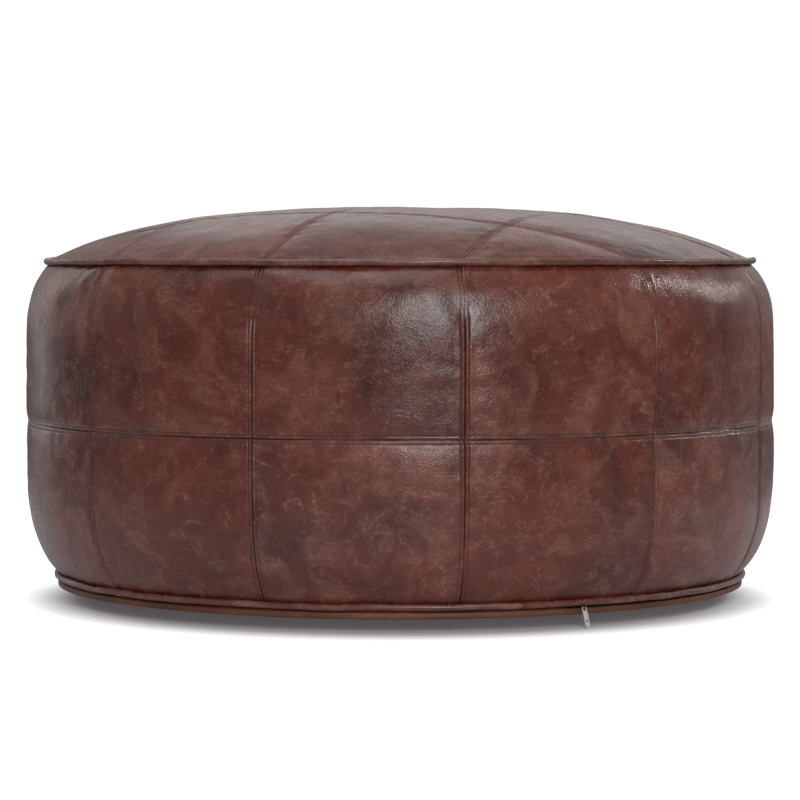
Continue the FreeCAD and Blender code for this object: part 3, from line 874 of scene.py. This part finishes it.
def base():
    """The base: one round of leather, gathered a little at its rim and turned over into a lip."""
    turns = np.linspace(0, 2 * math.pi, 720, endpoint=False)
    into = (turns - zip_start) % (2 * math.pi)
    on_zip = (into < zip_sweep)[:, None, None]
    section = np.where(on_zip, base_outline(False)[None], base_outline(True)[None])
    reach, rise = section[..., 0], section[..., 1]
    circle = np.stack([reach * np.cos(turns)[:, None], reach * np.sin(turns)[:, None], rise], -1)
    slack = np.clip((reach - base_flat_reach) / 0.1, 0, 1) * np.clip((lip_reach - reach) / (9 * MM), 0, 1)
    gathers = np.sin(turns * gathers_round + 2.5 * np.sin(turns * 7))[:, None]
    gathers = gathers * np.clip((reach - 0.31) / 0.06, 0, 1)
    circle[..., 2] += slack * (0.35 * ripple(circle, 60 * MM, 41) + 0.22 * gathers) * MM
    hem = np.abs(reach - (lip_reach - hem_inset))
    circle[..., 2] += hem_rise * np.exp(-(hem / hem_width) ** 2) * (rise < lip_foot)
    faces = ring_faces(*reach.shape)
    total = reach.size
    notes = {"seam_distance": hem.ravel() + stitch_row, "tone": np.zeros(total),
             "hide_shift": np.tile(dice.uniform(-3, 3, 3), (total, 1))}
    piece = new_piece("skin_base_panel", circle, faces[:, ::-1].tolist(), base_hide, notes)
    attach(piece, ROOT)
    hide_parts("base_panel")
    round_turns = np.linspace(0, 2 * math.pi, 2400)
    where = lip_reach - hem_inset
    row = np.stack([where * np.cos(round_turns), where * np.sin(round_turns),
                    np.full_like(round_turns, base_rise(where))], -1)
    stitches("thread_base_hem", [(row, np.tile([0.0, 0.0, -1.0], (len(row), 1)))])


base()


# ---------------------------------------------------------------- hidden and carried-over nodes

FINISHES = {
    "upper_piping_cord": cord_stuff, "lower_piping_cord": cord_stuff,
    "zip_tape_upper": tape, "zip_tape_lower": tape, "zip_teeth_upper": coil, "zip_teeth_lower": coil,
    "zip_bottom_stop": metal, "zip_top_stops": metal, "zip_slider": enamel, "zip_pull": metal,
    "liner_crown": calico, "liner_wall": calico, "liner_base": calico,
    "foam_core": foam, "side_wadding": wadding, "crown_wadding": wadding, "base_wadding": wadding,
}
for node, finish in FINISHES.items():
    part = frame["nodes"][node]
    part.data.materials.clear()
    part.data.materials.append(finish)


# ---------------------------------------------------------------- floor, light and camera

def floor():
    """A pale floor with a painted shadow: its emission shows white to the camera except close under the pouf,
    and fades there to a faint painted light, so that the fade paints the shadow's edge.
    """
    edge = 60.0
    mesh = bpy.data.meshes.new("floor")
    corners = [(-edge, -edge, 0), (edge, -edge, 0), (edge, edge, 0), (-edge, edge, 0)]
    mesh.from_pydata(corners, [], [(0, 1, 2, 3)])
    p = Paint("pale_floor", Roughness=0.8, Specular_IOR_Level=0.1, Emission_Strength=1.0)
    here = p.place()
    seen = p.node("ShaderNodeLightPath", out="Is Camera Ray")
    # Painted shadow: camera-only emission, white outside a ring round a point 4 cm in front of the middle,
    # fading in over that ring to a faint painted light under the pouf.
    away = p.node("ShaderNodeVectorMath", {"operation": "DISTANCE"}, {0: here, 1: (0.0, -0.04, 0.0)}, "Value")
    near = away.above(belly_reach - 0.070, belly_reach + 0.034)
    painted_shadow_fade = away.above(belly_reach - 0.082, belly_reach + 0.14)
    # The painted shadow's edge and the faint painted light under the pouf, seen by the camera only.
    painted_shadow_glow = (near * 0.94 + painted_shadow_fade * 0.06) * seen
    pale = p.mix(p.noise(here, 0.5, 3), (0.60, 0.60, 0.61), (0.63, 0.63, 0.64))
    p.finish(Base_Color=p.mix(away.above(0.9, 2.4), pale, (0.11, 0.11, 0.11)),
             Emission_Color=p.mix(painted_shadow_glow, (0.075, 0.07, 0.075), (1.0, 1.0, 1.0)))
    mesh.materials.append(p.material)
    ground = bpy.data.objects.new("floor", mesh)
    bpy.context.scene.collection.objects.link(ground)


def softbox(name, where, aim, width, height, power):
    """A flat, even light, out of the camera's sight."""
    lamp = bpy.data.lights.new(name, "AREA")
    lamp.shape = "RECTANGLE"
    lamp.size, lamp.size_y = width, height
    lamp.energy = power
    box = bpy.data.objects.new(name, lamp)
    bpy.context.scene.collection.objects.link(box)
    box.location = where
    box.rotation_euler = (Vector(aim) - Vector(where)).to_track_quat("-Z", "Y").to_euler()
    box.visible_camera = False
    return box


def light_crown(key):
    """Lights the crown by a twin of the key that leaves no reflection, which would glare from behind."""
    pieces = [piece for piece in bpy.context.scene.objects if piece.name.startswith("skin_top_patch")]
    for light, state in ((key, "EXCLUDE"), (key.copy(), "INCLUDE")):
        lit = bpy.data.collections.new("crown_" + state.lower())
        for piece in pieces:
            lit.objects.link(piece)
        for entry in lit.collection_objects:
            entry.light_linking.link_state = state
        light.light_linking.receiver_collection = lit
        if light is not key:
            light.name = "crown_fill"
            light.visible_glossy = False
            bpy.context.scene.collection.objects.link(light)


def studio():
    """An even white room, a key softbox in front, strips beside and behind, and two small sparks."""
    world = bpy.data.worlds.new("studio")
    bpy.context.scene.world = world
    world.use_nodes = True
    tree = world.node_tree
    back = tree.nodes["Background"]
    back.inputs["Color"].default_value = (1, 1, 1, 1)
    seen = tree.nodes.new("ShaderNodeLightPath")
    strength = tree.nodes.new("ShaderNodeMapRange")
    strength.inputs["To Min"].default_value = 0.31
    strength.inputs["To Max"].default_value = 1.05
    tree.links.new(seen.outputs["Is Camera Ray"], strength.inputs["Value"])
    tree.links.new(strength.outputs[0], back.inputs["Strength"])
    middle = (0, 0, 0.22)
    key = softbox("front_softbox", (0.75, -4.15, 1.8), (0.0, -0.4, 0.3), 1.15, 2.6, 64)
    light_crown(key)
    softbox("left_strip", (-2.05, 1.95, 0.8), middle, 0.4, 2.4, 3.4)
    softbox("right_strip", (2.5, 1.4, 0.8), middle, 1.1, 2.4, 0.5)
    softbox("overhead", (-0.3, -0.3, 2.6), middle, 2.0, 2.0, 18)
    softbox("back_softbox", (0.7, 3.4, 1.7), (0, 0, 0.4), 3.0, 1.2, 5.3)
    softbox("right_spark", (2.29, 0.34, 1.66), (0.28, -0.3, 0.35), 0.15, 0.08, 6)
    softbox("far_spark", (2.2, 1.2, 1.15), (0.34, -0.24, 0.35), 0.12, 0.08, 2.4)


def camera():
    """A long lens, a little above the seat's height."""
    lens = bpy.data.cameras.new("camera")
    lens.sensor_width = 36.0
    lens.lens = 145.35
    eye = bpy.data.objects.new("camera", lens)
    bpy.context.scene.collection.objects.link(eye)
    eye.location = (0.0, -3.65, 0.3936)
    eye.rotation_euler = (math.radians(90 - 2.754), 0, 0)
    bpy.context.scene.camera = eye
    bpy.context.scene.view_settings.view_transform = "Standard"


floor()
studio()
camera()
